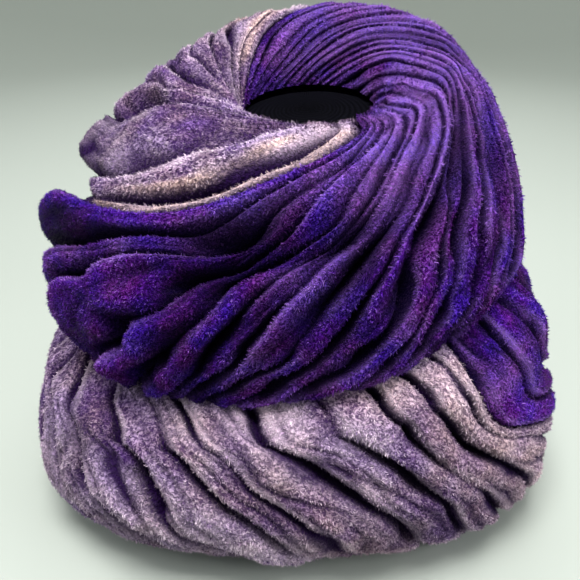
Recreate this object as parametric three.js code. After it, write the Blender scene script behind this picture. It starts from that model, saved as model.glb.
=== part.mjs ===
import * as THREE from 'three';

// Turban hat of pleated velvet: two thick twisted rolls, one on the other, round a black knit cap.
// Millimetres, +Z up. The front of the hat looks towards -Y and the hat stands on Z = 0.
// Angles round the hat start at the front and grow towards the wearer's left, which is +X.

const DEGREE = Math.PI / 180;
const FULL_TURN = 2 * Math.PI;

const KNIT_THICKNESS = 2.5;
const CAP_SIDES = 48;
const UPPER_CAP_CLEARANCE = 2.6; // between knit and upper roll, whose long facets cut in toward it
const LOWER_CAP_CLEARANCE = 2.2; // between knit and lower roll
const TUCK_CLEARANCE = 0.5; // room between the two rolls where one sits on the other

const UPPER_OVAL_POWER = 2.1; // 2 is an ellipse, more is squarer
const LOWER_OVAL_POWER = 2.5;
const CAP_OVAL_POWER = 2.1;

// The two rolls meet on one sloping plane: low at the front and at the wearer's right.
const TUCK_PLANE = { height: 106.5, slopeX: 0.19, slopeY: 0.15 };

// Every section is a ring round the hat. Its height at a point is height + slopeX * x + slopeY * y.
// puff: how deep the valleys between pleats go there, in millimetres.
const SECTION_COLUMNS = ['name', 'centreX', 'centreY', 'halfX', 'halfY', 'height', 'slopeX', 'slopeY', 'puff'];

const UPPER_SECTIONS = table(SECTION_COLUMNS, [
  ['well foot', 4, 20, 31, 31, 173.5, 0.06, 0.16, 0.5],
  ['well wall', 5, 20, 34, 33, 182, 0.06, 0.26, 1.5],
  ['rim', 5, 19, 43, 41, 190, 0.07, 0.33, 3],
  ['crest', 6, 16, 60, 55, 196, 0.08, 0.31, 4.5],
  ['brow', 5, 14, 72, 71, 193, 0.08, 0.26, 6.5],
  ['shoulder', 0, 10, 87, 85, 182, 0.08, 0.21, 8.5],
  ['flank', -5, 6, 101, 96, 167, 0.07, 0.17, 10],
  ['equator', -8, 3, 112, 102, 146, 0.07, 0.16, 11],
  ['skirt', -7, 2, 113, 102, 127, 0.13, 0.15, 10],
  ['tuck', -4, 1, 108, 97, 113.5, 0.18, 0.15, 7],
  ['sit', -4, 1, 103, 91, 107, 0.19, 0.15, 2],
]);

const LOWER_SECTIONS = table(SECTION_COLUMNS, [
  ['lip', -5, 1, 107, 93, 106, 0.19, 0.15, 3],
  ['slope', -6, 0, 119, 105, 97, 0.135, 0.11, 8],
  ['belly', -4, 0, 127, 112, 78, 0.085, 0.09, 10],
  ['hip', -3, 0, 135, 115, 52, 0.055, 0.05, 10],
  ['hem', -2, 0, 136, 109, 26, 0.03, 0.03, 9],
  ['sole', -2, 0, 130, 98, 7, 0, 0, 5],
  ['rest', -2, 0, 121, 90, 0, 0, 0, 0],
]);

// How the pleats wind, in degrees round the hat: one column for each of a few pleat lines, one row
// for each section. A line is named by the angle it passes at the roll's own naming section.
const UPPER_WINDING = {
  lines: [15, 20, 25, 33, 54, 72, 86, 130, 185, 250, 310],
  rows: [
    [60, 64, 68, 78, 110, 158, 178, 216, 262, 318, 372],
    [36, 40, 44, 52, 84, 132, 150, 188, 234, 290, 345],
    [24, 27, 31, 38, 66, 100, 120, 158, 208, 268, 325],
    [15, 20, 25, 33, 54, 72, 86, 130, 185, 250, 310],
    [-4, 4, 12, 22, 43, 58, 76, 118, 172, 236, 294],
    [-32, -18, -4, 12, 33, 48, 68, 108, 160, 222, 276],
    [-72, -44, -20, -4, 23, 40, 62, 100, 150, 205, 250],
    [-97, -62, -32, -13, 14, 35, 57, 94, 140, 190, 230],
    [-110, -72, -38, -20, 5, 29, 52, 88, 132, 178, 214],
    [-118, -82, -44, -27, -6, 21, 46, 82, 124, 166, 200],
    [-124, -86, -47, -31, -12, 16, 42, 78, 120, 161, 194],
  ],
};
const LOWER_WINDING = {
  lines: [37, 84, 150, 240, 300, 335, 347, 365, 378, 388],
  rows: [
    [37, 84, 150, 240, 300, 335, 347, 365, 378, 388],
    [38, 88, 157, 245, 306, 342, 354, 371, 382, 391],
    [42, 93, 165, 250, 312, 349, 362, 378, 387, 395],
    [62, 104, 174, 257, 319, 357, 370, 386, 395, 406],
    [78, 114, 182, 264, 326, 364, 377, 391, 401, 413],
    [84, 120, 188, 270, 331, 370, 382, 396, 406, 418],
    [87, 123, 192, 273, 334, 373, 385, 399, 409, 421],
  ],
};

// The knit cap from its open rim up to the button of the dome.
const CAP_SECTIONS = table(SECTION_COLUMNS.slice(0, -1), [
  ['rim', 0, 0, 101.5, 83, 3, 0, 0],
  ['band', 0, 0, 101.5, 83, 50, 0.05, 0.04],
  ['tuck', -3, 1, 94, 79, TUCK_PLANE.height, TUCK_PLANE.slopeX, TUCK_PLANE.slopeY],
  ['temple', 0, 5, 83, 71, 131, 0.17, 0.16],
  ['crown', 3, 12, 61, 56, 155, 0.12, 0.17],
  ['top', 4, 19, 33, 32, 170, 0.06, 0.16],
  ['button', 4, 21, 13, 12, 173.5, 0.06, 0.16],
]);
const CAP_BUTTON_RISE = 1; // the middle of the dome over the button ring
const CAP_TUCK_ROW = 2;
const CAP_TOP_ROW = 5;

// One row per pleat, in order round the roll. from: the line of the valley it starts in;
// rise: how far the crest comes up to the full section, 1 reaching it.
const PLEAT_COLUMNS = ['from', 'rise'];
const UPPER_PURPLE_PLEATS = table(PLEAT_COLUMNS, [
  [15, 1],
  [18.5, 0.8],
  [21.5, 1],
  [25, 0.85],
  [30, 1],
  [35, 0.8],
  [39, 1],
  [46, 0.85],
  [54, 1],
  [61, 0.9],
  [68, 0.8],
  [73, 1],
  [78, 0.85],
  [84, 1],
  [92, 0.85],
  [101, 1],
  [112, 0.9],
  [123, 1],
  [134, 0.85],
  [146, 1],
  [159, 0.85],
  [172, 1],
]);
const UPPER_LAVENDER_PLEATS = table(PLEAT_COLUMNS, [
  [185, 1],
  [200, 0.85],
  [216, 1],
  [233, 0.9],
  [250, 1],
  [266, 0.85],
  [283, 1],
  [302, 1],
  [345, 0.95],
  [364, 0.8],
]);
const LOWER_PURPLE_PLEATS = table(PLEAT_COLUMNS, [
  [37, 1],
  [47, 0.85],
  [57, 1],
  [68, 0.85],
  [80, 1],
  [96, 0.9],
  [110, 1],
  [124, 0.85],
  [138, 1],
  [151, 0.9],
  [165, 1],
]);
const LOWER_LAVENDER_PLEATS = table(PLEAT_COLUMNS, [
  [178, 1],
  [190, 0.85],
  [203, 1],
  [215, 0.9],
  [228, 0.85],
  [240, 1],
  [252, 0.85],
  [262, 1],
  [272, 0.8],
  [283, 0.95],
  [294, 1],
  [305, 0.95],
  [320, 1],
  [331, 0.85],
  [339, 1],
  [347, 0.9],
  [356, 0.85],
  [365, 1],
  [372, 0.85],
  [378, 1],
  [383, 0.85],
  [388, 1],
  [392.5, 0.9],
]);

// Where a pleat is sampled across its width, 0 being the valley before it.
const PLEAT_STEPS = [0, 0.18, 0.5, 0.82];
const PLEAT_ROUNDNESS = 0.7; // under 1 makes round crests and narrow valleys

const PURPLE = { color: 0x3c0f6e, roughness: 0.85 };
const LAVENDER = { color: 0xa58cb9, roughness: 0.85 };
const BLACK_KNIT = { color: 0x0b0b14, roughness: 0.95 };

function table(columns, rows) {
  return rows.map((row) => Object.fromEntries(columns.map((column, i) => [column, row[i]])));
}

// A section between two rows of a table, place counting rows from 0.
function sectionAt(sections, place) {
  const lower = Math.min(Math.floor(place), sections.length - 2);
  const between = place - lower;
  const mixed = {};
  for (const key of Object.keys(sections[lower])) {
    if (key !== 'name') {
      mixed[key] = THREE.MathUtils.lerp(sections[lower][key], sections[lower + 1][key], between);
    }
  }
  return mixed;
}

// The point of a section's ring at an angle, widened by a clearance.
function ringPoint(section, power, angle, clearance = 0) {
  const across = Math.sin(angle);
  const along = -Math.cos(angle);
  const scale = (Math.abs(across) ** power + Math.abs(along) ** power) ** (-1 / power);
  const x = section.centreX + (section.halfX + clearance) * across * scale;
  const y = section.centreY + (section.halfY + clearance) * along * scale;
  return new THREE.Vector3(x, y, section.height + section.slopeX * x + section.slopeY * y);
}

// The angle round the hat that a pleat line has reached at section k, between the two nearest columns.
function woundAngle(winding, k, line) {
  const { lines, rows } = winding;
  const turns = Math.floor((line / DEGREE - lines[0]) / 360);
  const degrees = line / DEGREE - 360 * turns;
  const column = lines.findLastIndex((start) => start <= degrees);
  const isLast = column === lines.length - 1;
  const nextLine = isLast ? lines[0] + 360 : lines[column + 1];
  const nextAngle = isLast ? rows[k][0] + 360 : rows[k][column + 1];
  const between = (degrees - lines[column]) / (nextLine - lines[column]);
  return (THREE.MathUtils.lerp(rows[k][column], nextAngle, between) + 360 * turns) * DEGREE;
}

// Outward normal of the unpleated roll at row k, from its neighbours.
function rollNormal(sections, power, angle, k) {
  const ASIDE = 0.01;
  const before = sections[Math.max(k - 1, 0)];
  const after = sections[Math.min(k + 1, sections.length - 1)];
  const down = ringPoint(after, power, angle).sub(ringPoint(before, power, angle));
  const round = ringPoint(sections[k], power, angle + ASIDE)
    .sub(ringPoint(sections[k], power, angle - ASIDE));
  return down.cross(round).normalize();
}

// Pleat lines of one panel up to the seam where it ends: each with how far it rises, 0 in a valley.
function pleatLines(pleats, to) {
  const lines = [];
  pleats.forEach((pleat, i) => {
    const next = i + 1 < pleats.length ? pleats[i + 1].from : to;
    for (const step of PLEAT_STEPS) {
      const rise = pleat.rise * Math.sin(Math.PI * step) ** PLEAT_ROUNDNESS;
      lines.push({ line: THREE.MathUtils.lerp(pleat.from, next, step) * DEGREE, rise });
    }
  });
  lines.push({ line: to * DEGREE, rise: 0 });
  return lines;
}

// Closed body of one panel of a roll. Its outer face carries the pleats, its inner face follows the
// cap from capFrom to capTo, rows of the cap table, and meets the tuck plane where it is told to.
function panelGeometry(roll, lines) {
  const rows = roll.sections.length;
  const columns = lines.length;
  const positions = [];
  const triangles = [];
  const shortOfSeam = (i, angle, section) => {
    const toward = i === 0 ? 1 : i === columns - 1 ? -1 : 0;
    return angle + toward * roll.seamClearance / section.halfY;
  };
  for (let i = 0; i < columns; i += 1) {
    const wound = roll.sections.map((section, k) => woundAngle(roll.winding, k, lines[i].line));
    roll.sections.forEach((section, k) => {
      const angle = shortOfSeam(i, wound[k], section);
      const valley = (1 - lines[i].rise) * section.puff;
      positions.push(ringPoint(section, roll.power, angle)
        .addScaledVector(rollNormal(roll.sections, roll.power, angle, k), -valley));
    });
    for (let k = 0; k < rows; k += 1) {
      const share = k / (rows - 1);
      const cap = sectionAt(CAP_SECTIONS, THREE.MathUtils.lerp(roll.capFrom, roll.capTo, share));
      positions.push(roll.innerPoint(cap, shortOfSeam(i, wound[k], cap), share));
    }
  }
  const outer = (i, k) => i * 2 * rows + k;
  const inner = (i, k) => outer(i, k) + rows;
  const last = rows - 1;
  for (let i = 0; i + 1 < columns; i += 1) {
    for (let k = 0; k < last; k += 1) {
      quad(triangles, outer(i, k), outer(i, k + 1), outer(i + 1, k + 1), outer(i + 1, k));
      quad(triangles, inner(i, k), inner(i + 1, k), inner(i + 1, k + 1), inner(i, k + 1));
    }
    quad(triangles, inner(i, 0), outer(i, 0), outer(i + 1, 0), inner(i + 1, 0));
    quad(triangles, outer(i, last), inner(i, last), inner(i + 1, last), outer(i + 1, last));
  }
  const end = columns - 1;
  for (let k = 0; k < last; k += 1) {
    quad(triangles, inner(0, k), inner(0, k + 1), outer(0, k + 1), outer(0, k));
    const wall = [inner(end, k), outer(end, k), outer(end, k + 1), inner(end, k + 1)];
    if (roll.splitsWallUpward) {
      wall.unshift(wall.pop());
    }
    quad(triangles, ...wall);
  }
  return geometryFrom(positions, triangles);
}

// Dome shell of the cap: outer and inner faces, joined round the open rim.
function capGeometry() {
  const positions = [];
  const triangles = [];
  const rows = CAP_SECTIONS.length;
  for (const shrink of [0, KNIT_THICKNESS]) {
    CAP_SECTIONS.forEach((section, k) => {
      for (let i = 0; i < CAP_SIDES; i += 1) {
        const point = ringPoint(section, CAP_OVAL_POWER, FULL_TURN * i / CAP_SIDES, -shrink);
        point.z -= k > 0 ? shrink : 0;
        positions.push(point);
      }
    });
    const button = CAP_SECTIONS[rows - 1];
    const middle = ringPoint({ ...button, halfX: 0, halfY: 0 }, CAP_OVAL_POWER, 0);
    middle.z += CAP_BUTTON_RISE - shrink;
    positions.push(middle);
  }
  const outer = (k, i) => k * CAP_SIDES + i % CAP_SIDES;
  const inner = (k, i) => outer(k, i) + rows * CAP_SIDES + 1;
  const outerMiddle = rows * CAP_SIDES;
  const innerMiddle = positions.length - 1;
  for (let i = 0; i < CAP_SIDES; i += 1) {
    for (let k = 0; k + 1 < rows; k += 1) {
      quad(triangles, outer(k, i), outer(k, i + 1), outer(k + 1, i + 1), outer(k + 1, i));
      quad(triangles, inner(k, i), inner(k + 1, i), inner(k + 1, i + 1), inner(k, i + 1));
    }
    quad(triangles, outer(0, i), inner(0, i), inner(0, i + 1), outer(0, i + 1));
    triangles.push(outer(rows - 1, i), outer(rows - 1, i + 1), outerMiddle);
    triangles.push(inner(rows - 1, i + 1), inner(rows - 1, i), innerMiddle);
  }
  return geometryFrom(positions, triangles);
}

function quad(triangles, a, b, c, d) {
  triangles.push(a, b, c, a, c, d);
}

function geometryFrom(positions, triangles) {
  const geometry = new THREE.BufferGeometry();
  geometry.setAttribute('position', new THREE.Float32BufferAttribute(positions.flatMap((p) => p.toArray()), 3));
  geometry.setIndex(triangles);
  geometry.computeVertexNormals();
  return geometry;
}

function piece(name, geometry, finish) {
  const mesh = new THREE.Mesh(geometry, new THREE.MeshStandardMaterial({ ...finish, metalness: 0 }));
  mesh.name = name;
  return mesh;
}

// Inside of the upper roll: rests over the cap and ends on the tuck plane.
function upperInnerPoint(cap, angle, share) {
  const point = ringPoint(cap, CAP_OVAL_POWER, angle, UPPER_CAP_CLEARANCE);
  point.z += share < 1 ? UPPER_CAP_CLEARANCE : TUCK_CLEARANCE;
  return point;
}

// Inside of the lower roll: starts on the tuck plane and comes down to the ground.
function lowerInnerPoint(cap, angle, share) {
  const point = ringPoint(cap, CAP_OVAL_POWER, angle, LOWER_CAP_CLEARANCE);
  if (share === 0) {
    point.z -= TUCK_CLEARANCE;
  }
  if (share === 1) {
    point.z = 0;
  }
  return point;
}

const upperRoll = {
  sections: UPPER_SECTIONS,
  power: UPPER_OVAL_POWER,
  winding: UPPER_WINDING,
  capFrom: CAP_TOP_ROW,
  capTo: CAP_TUCK_ROW,
  innerPoint: upperInnerPoint,
  seamClearance: 0.9, // these seams run aslant, so the panels stop well short of them
  splitsWallUpward: true, // which diagonal of the end wall keeps clear of the other panel
};
const lowerRoll = {
  sections: LOWER_SECTIONS,
  power: LOWER_OVAL_POWER,
  winding: LOWER_WINDING,
  capFrom: CAP_TUCK_ROW,
  capTo: 0,
  innerPoint: lowerInnerPoint,
  seamClearance: 0.5,
  splitsWallUpward: false,
};

// Each panel runs up to the seam where its neighbour starts.
const upperSeams = [UPPER_PURPLE_PLEATS[0].from + 360, UPPER_LAVENDER_PLEATS[0].from];
const lowerSeams = [LOWER_PURPLE_PLEATS[0].from + 360, LOWER_LAVENDER_PLEATS[0].from];
const panel = (roll, pleats, to) => panelGeometry(roll, pleatLines(pleats, to));

const hat = new THREE.Group();
hat.add(piece('inner_cap', capGeometry(), BLACK_KNIT));
hat.add(piece('upper_roll_purple', panel(upperRoll, UPPER_PURPLE_PLEATS, upperSeams[1]), PURPLE));
hat.add(piece('upper_roll_lavender', panel(upperRoll, UPPER_LAVENDER_PLEATS, upperSeams[0]), LAVENDER));
hat.add(piece('lower_roll_purple', panel(lowerRoll, LOWER_PURPLE_PLEATS, lowerSeams[1]), PURPLE));
hat.add(piece('lower_roll_lavender', panel(lowerRoll, LOWER_LAVENDER_PLEATS, lowerSeams[0]), LAVENDER));

// The middle of the hat's box stands over the origin.
const box = new THREE.Box3().setFromObject(hat);
const middle = box.getCenter(new THREE.Vector3());
for (const mesh of hat.children) {
  mesh.geometry.translate(-middle.x, -middle.y, -box.min.z);
}

export default hat;
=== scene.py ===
# %% [markdown]
# # A draped velvet turban hat
#
# Two thick rolls of plush velvet sit one on the other round a black knit cap. The velvet was gathered into
# pleats, and the upper roll was twisted as it was sewn down, so its pleats wind out of the hole in the top
# and run round the hat. Each roll joins a purple and a lavender panel.
#
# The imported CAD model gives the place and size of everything. Here each soft piece is drawn again from the
# same section tables, far finer, and then dressed: crevices, gathers, lumps, and last the pile itself.
# Blender could also sculpt or simulate the cloth. Tables and loops were chosen because they keep every pleat
# where it belongs and give the same hat each time the file runs.

import math

import bpy
import numpy as np
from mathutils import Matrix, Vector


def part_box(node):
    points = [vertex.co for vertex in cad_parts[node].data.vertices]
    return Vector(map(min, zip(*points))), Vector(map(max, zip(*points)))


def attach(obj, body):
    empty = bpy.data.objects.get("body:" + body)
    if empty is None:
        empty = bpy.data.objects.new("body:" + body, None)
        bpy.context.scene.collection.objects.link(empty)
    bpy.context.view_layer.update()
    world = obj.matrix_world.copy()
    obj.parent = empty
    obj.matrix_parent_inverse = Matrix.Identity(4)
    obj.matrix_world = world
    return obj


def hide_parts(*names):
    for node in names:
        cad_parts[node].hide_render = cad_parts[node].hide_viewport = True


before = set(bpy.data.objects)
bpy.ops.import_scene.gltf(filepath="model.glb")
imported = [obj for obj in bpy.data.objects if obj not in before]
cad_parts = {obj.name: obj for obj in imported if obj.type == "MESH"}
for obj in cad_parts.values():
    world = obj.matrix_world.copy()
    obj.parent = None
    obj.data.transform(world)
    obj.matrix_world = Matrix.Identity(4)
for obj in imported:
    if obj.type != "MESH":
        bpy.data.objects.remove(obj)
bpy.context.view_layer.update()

MM = 0.001

# %% [markdown]
# ## Where the rolls run
#
# A roll is a closed ring of cloth. Each row of a section table is one ring round the hat, from the inside
# of the hole over the crest and down to the tuck, or from the tuck down to the ground. Its height is
# height + slope_x * x + slope_y * y, because the hat leans. Puff is how deep the pleats go there. A torus
# with a twist would be quicker to make, but neither roll is round or level, and a short table of rings
# follows both. All lengths are millimetres. The first rows of the lower roll and the last of the upper one
# are hidden: there the cloth runs on between the two rolls.

# %% Section tables
SECTION_COLUMNS = ("centre_x", "centre_y", "half_x", "half_y", "height", "slope_x", "slope_y", "puff")
UPPER_SECTIONS = {
    "well foot": (4, 20, 31, 31, 173.5, 0.06, 0.16, 0.5),
    "well wall": (5, 20, 34, 33, 182, 0.06, 0.26, 1.5),
    "rim": (5, 19, 43, 41, 190, 0.07, 0.33, 3),
    "crest": (6, 16, 60, 55, 196, 0.08, 0.31, 4.5),
    "brow": (5, 14, 72, 71, 193, 0.08, 0.26, 6.5),
    "shoulder": (0, 10, 87, 85, 182, 0.08, 0.21, 8.5),
    "flank": (-5, 6, 101, 96, 167, 0.07, 0.17, 10),
    "equator": (-8, 3, 112, 102, 146, 0.07, 0.16, 11),
    "skirt": (-7, 2, 113, 102, 127, 0.13, 0.15, 10),
    "tuck": (-4, 1, 108, 97, 113.5, 0.18, 0.15, 7),
    "sit": (-4, 1, 103, 91, 107, 0.19, 0.15, 2),
    "bed": (-4, 1, 95, 81, 105, 0.19, 0.15, 0),
}
LOWER_SECTIONS = {
    "under roll": (-4, 1, 98, 85, 112, 0.19, 0.15, 2),
    "lip": (-5, 1, 107, 93, 106, 0.19, 0.15, 3),
    "slope": (-6, 0, 119, 105, 97, 0.135, 0.11, 8),
    "belly": (-4, 0, 127, 112, 78, 0.085, 0.09, 10),
    "hip": (-3, 0, 135, 115, 52, 0.055, 0.05, 10),
    "hem": (-2, 0, 136, 109, 26, 0.03, 0.03, 9),
    "sole": (-2, 0, 130, 98, 7, 0, 0, 5),
    "rest": (-2, 0, 121, 90, 0, 0, 0, 0),
    "bed": (-1, 0, 104, 86, 1, 0, 0, 0),
}
CAP_SECTIONS = {
    "rim": (0, 0, 101.5, 83, 3, 0, 0, 0),
    "band": (0, 0, 101.5, 83, 50, 0.05, 0.04, 0),
    "tuck": (-3, 1, 94, 79, 106.5, 0.19, 0.15, 0),
    "temple": (0, 5, 83, 71, 131, 0.17, 0.16, 0),
    "crown": (3, 12, 61, 56, 155, 0.12, 0.17, 0),
    "top": (4, 19, 33, 32, 170, 0.06, 0.16, 0),
    "button": (4, 21, 13, 12, 173.5, 0.06, 0.16, 0),
}
OVAL_POWER = {"upper": 2.1, "lower": 2.5, "cap": 2.1}
print("rings", len(UPPER_SECTIONS), len(LOWER_SECTIONS), len(CAP_SECTIONS))

# %% [markdown]
# ## How the pleats wind
#
# The upper roll was twisted as it was sewn, so a pleat leaves the hole at one angle and reaches the tuck
# far round the hat. A twist modifier turns everything by the same amount; here the front pleats turn much
# more than the back ones. So each row of a winding table holds, for a few pleat lines, the angle round the
# hat at one section. A line is named by its angle at the crest of the upper roll or the lip of the lower
# one. Angles are degrees, counted from the front towards +X.

# %% Winding tables
UPPER_LINES = (15, 20, 25, 33, 54, 72, 86, 130, 185, 250, 310)
UPPER_WINDING = {
    "well foot": (60, 64, 68, 78, 110, 158, 178, 216, 262, 318, 372),
    "well wall": (36, 40, 44, 52, 84, 132, 150, 188, 234, 290, 345),
    "rim": (24, 27, 31, 38, 66, 100, 120, 158, 208, 268, 325),
    "crest": (15, 20, 25, 33, 54, 72, 86, 130, 185, 250, 310),
    "brow": (-4, 4, 12, 22, 43, 58, 76, 118, 172, 236, 294),
    "shoulder": (-32, -18, -4, 12, 33, 48, 68, 108, 160, 222, 276),
    "flank": (-72, -44, -20, -4, 23, 40, 62, 100, 150, 205, 250),
    "equator": (-97, -62, -32, -13, 14, 35, 57, 94, 140, 190, 230),
    "skirt": (-110, -72, -38, -20, 5, 29, 52, 88, 132, 178, 214),
    "tuck": (-118, -82, -44, -27, -6, 21, 46, 82, 124, 166, 200),
    "sit": (-124, -86, -47, -31, -12, 16, 42, 78, 120, 161, 194),
    "bed": (-127, -89, -50, -34, -15, 13, 39, 75, 117, 158, 191),
}
LOWER_LINES = (37, 84, 150, 240, 300, 335, 347, 365, 378, 388)
LOWER_WINDING = {
    "under roll": (36, 80, 143, 235, 293, 328, 341, 360, 373, 383),
    "lip": (37, 84, 150, 240, 300, 335, 347, 365, 378, 388),
    "slope": (38, 88, 157, 245, 306, 342, 354, 371, 382, 391),
    "belly": (42, 93, 165, 250, 312, 349, 362, 378, 387, 395),
    "hip": (62, 104, 174, 257, 319, 357, 370, 386, 395, 406),
    "hem": (78, 114, 182, 264, 326, 364, 377, 391, 401, 413),
    "sole": (84, 120, 188, 270, 331, 370, 382, 396, 406, 418),
    "rest": (87, 123, 192, 273, 334, 373, 385, 399, 409, 421),
    "bed": (89, 125, 194, 275, 336, 375, 387, 401, 411, 423),
}
print("turn from crest to tuck, degrees",
      [low - high for high, low in zip(UPPER_WINDING["crest"], UPPER_WINDING["tuck"])])

# %% [markdown]
# ## The pleats
#
# One row per pleat: the line of the valley it starts in, and how far its crest comes up. The pleats of the
# front were placed one by one from the photograph, the others carry on in the same spirit. Even pleats from
# an array would look machine made; uneven ones look gathered by hand.

# %% Pleat tables
PLEAT_COLUMNS = ("line", "rise")
UPPER_PURPLE_PLEATS = (
    (15, 1), (18.5, 0.8), (21.5, 1), (25, 0.85), (30, 1), (35, 0.8), (39, 1), (46, 0.85), (54, 1),
    (61, 0.9), (68, 0.8), (73, 1), (78, 0.85), (84, 1), (92, 0.85), (101, 1), (112, 0.9), (123, 1),
    (134, 0.85), (146, 1), (159, 0.85), (172, 1),
)
UPPER_LAVENDER_PLEATS = (
    (185, 1), (200, 0.85), (216, 1), (233, 0.9), (250, 1), (266, 0.85), (283, 1), (302, 1), (345, 0.95),
    (364, 0.8),
)
LOWER_PURPLE_PLEATS = (
    (37, 1), (47, 0.85), (57, 1), (68, 0.85), (80, 1), (96, 0.9), (110, 1), (124, 0.85), (138, 1),
    (151, 0.9), (165, 1),
)
LOWER_LAVENDER_PLEATS = (
    (178, 1), (190, 0.85), (203, 1), (215, 0.9), (228, 0.85), (240, 1), (252, 0.85), (262, 1), (272, 0.8),
    (283, 0.95), (294, 1), (305, 0.95), (320, 1), (331, 0.85), (339, 1), (352, 0.9), (366, 1), (377, 0.9),
    (386, 1), (393, 0.9),
)
print("pleats", len(UPPER_PURPLE_PLEATS) + len(UPPER_LAVENDER_PLEATS),
      len(LOWER_PURPLE_PLEATS) + len(LOWER_LAVENDER_PLEATS))

# %% [markdown]
# ## Pockets and bulges
#
# In a few places two pleats gape, and the eye falls into the dark between them. Those pockets are what makes
# the cloth look heavy. Cutting them open would tear the surface, so each is a soft dent pushed into it, and
# painted shade darkens the colour there. A depth below zero is a bulge. The row counts sections from the top.

# %% Pocket tables
POCKET_COLUMNS = ("line", "row", "half_width_mm", "half_length_mm", "depth_mm")
UPPER_POCKETS = (
    (18.5, 6.3, 3.4, 26, 12), (18.5, 8, 3.2, 20, 11), (21.5, 5.2, 6, 18, 17), (21.5, 7.2, 3.6, 24, 12),
    (25, 5.8, 6.5, 24, 18), (25, 7.8, 4.2, 22, 13), (30, 6, 4.6, 22, 14), (30, 8.2, 3.6, 20, 12),
    (35, 7.2, 3, 18, 10), (39, 5.4, 3, 14, 10), (39, 8.4, 3, 16, 9), (46, 6, 4.2, 22, 14),
    (54, 7.2, 3.4, 18, 11), (61, 5.6, 3, 18, 10), (68, 4.6, 3.2, 24, 12), (73, 6.2, 2.6, 18, 9),
    (84, 5.6, 3.2, 28, 13), (101, 5.2, 2.4, 20, 8), (134, 6, 2.6, 22, 8), (159, 4.8, 2.4, 18, 7),
    (200, 4.6, 2.6, 20, 8), (233, 5.5, 3, 22, 9), (266, 5, 2.6, 18, 7), (294, 4.5, 4.5, 16, 18),
    (302, 6, 3.4, 26, 10), (345, 5.6, 2.6, 26, 7), (364, 4.6, 2.2, 18, 5), (351, 6.3, 10, 32, 22),
    (368, 6.3, 10, 32, 26), (322, 6.1, 16, 26, -5), (16.4, 6, 8, 22, -7), (304, 5.4, 5, 14, -5),
    (17, 6.8, 8, 30, -4), (27, 7.4, 9, 22, -3),
)
LOWER_POCKETS = (
    (190, 3, 2.4, 18, 8), (228, 4, 2.6, 20, 9), (262, 3, 2.4, 18, 8), (283, 3.6, 2.2, 18, 8),
    (305, 3.1, 2.6, 20, 10), (320, 2.6, 2.8, 18, 11), (331, 4, 2.2, 22, 9), (352, 3.2, 2.2, 20, 9),
    (366, 3.2, 2.8, 22, 12), (377, 2.4, 2.2, 18, 10), (386, 3.2, 2.4, 18, 10), (352, 5, 2.4, 20, 9),
    (57, 3.4, 2.4, 20, 9), (80, 3.4, 2.4, 18, 8), (110, 3.6, 2.6, 20, 9), (138, 3.1, 2.4, 18, 8),
)
print("pockets and bulges", len(UPPER_POCKETS), len(LOWER_POCKETS))

# %% [markdown]
# ## Painted sheen on frosted places, and warm places
#
# Where the roll turns up to the light and hands have brushed it, the tips stand and the cloth looks
# frosted: pale tips, most of it painted sheen where the tips catch the light. Near the two upper seams the
# lavender dye turned to a warm cream. Painting this by hand would need an image; a few soft spots on the
# pleat lines do the same and move with the cloth. An amount below zero takes painted sheen away.

# %% Painted sheen and warm tables
FROST_SHEEN_COLUMNS = ("line", "row", "half_lines", "half_rows", "amount")
# Spots of painted sheen where the roll faces the light; amounts below zero take it away in shade.
UPPER_FROST_SHEEN = (
    (100, 2.6, 30, 1.3, 1.9), (66, 3.6, 16, 1.6, 1.5), (150, 3.2, 30, 1.5, 0.7), (46, 5.2, 7, 1.6, 0.5),
    (38, 3.3, 14, 1.2, 2.2), (96, 5.4, 10, 1.5, 0.5), (330, 5.4, 22, 1.6, 0.5), (366, 3.8, 8, 1.8, 1.2),
    (16.5, 6.4, 1.6, 2, -0.8), (28, 7, 9, 1.8, -0.6), (225, 3, 30, 1.5, 0.6), (72, 6.4, 26, 2.2, -0.6),
)
# Less painted sheen over all of the lower purple panel.
LOWER_PURPLE_FROST_SHEEN = ((100, 4, 100, 20, -0.85),)
WARM_COLUMNS = ("line", "from_row", "to_row", "half_lines", "amount")
UPPER_LAVENDER_WARM = (
    (370, 2.6, 6.8, 5, 1), (356, 3, 5.4, 3, 1), (200, 1.2, 4.4, 7, 1), (222, 2.5, 4.4, 4, 1),
)
LOWER_LAVENDER_WARM = ((388, 0.5, 7, 12, 0.5), (345, 0.5, 7, 14, 0.25))


def rows_of(columns, table):
    """The rows of a table as dictionaries under its column names."""
    return [dict(zip(columns, row)) for row in table]


print("first pocket", rows_of(POCKET_COLUMNS, UPPER_POCKETS)[0])

# %% [markdown]
# ## Surfaces from the tables
#
# Rows are joined by a smooth curve through the table, lines by straight steps that are then softened. A
# Blender curve or lofted surface could join the rings too, but here every point needs its own place between
# the rings, so the curve is worked out in numpy.

# %% Surface functions
SOFTENING_LINES = (-0.8, -0.4, 0, 0.4, 0.8)
TURNS = (-1, 0, 1, 2)


def curve_through(rows, place):
    """Catmull-Rom through the rows of a table, place counted in rows."""
    rows = np.asarray(rows, float)
    count = len(rows)
    x = np.clip(place, 0, count - 1)
    i = np.minimum(np.floor(x).astype(int), count - 2)
    f = (x - i).reshape(i.shape + (1,) * (rows.ndim - 1))
    a, b = rows[np.maximum(i - 1, 0)], rows[i]
    c, d = rows[i + 1], rows[np.minimum(i + 2, count - 1)]
    return 0.5 * (2 * b + (c - a) * f + (2 * a - 5 * b + 4 * c - d) * f**2 + (3 * b - a - 3 * c + d) * f**3)


def wound_angles(lines, winding, line, place):
    """Angle round the hat, in radians, of each pleat line at each place: shape (lines, places)."""
    known = np.concatenate([np.asarray(lines) + 360 * turn for turn in TURNS])
    softened = []
    for row in winding.values():
        angles = np.concatenate([np.asarray(row, float) + 360 * turn for turn in TURNS])
        offsets = [np.interp(line + aside, known, angles) for aside in SOFTENING_LINES]
        softened.append(np.mean(offsets, axis=0))
    return np.radians(curve_through(softened, place)).T


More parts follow.
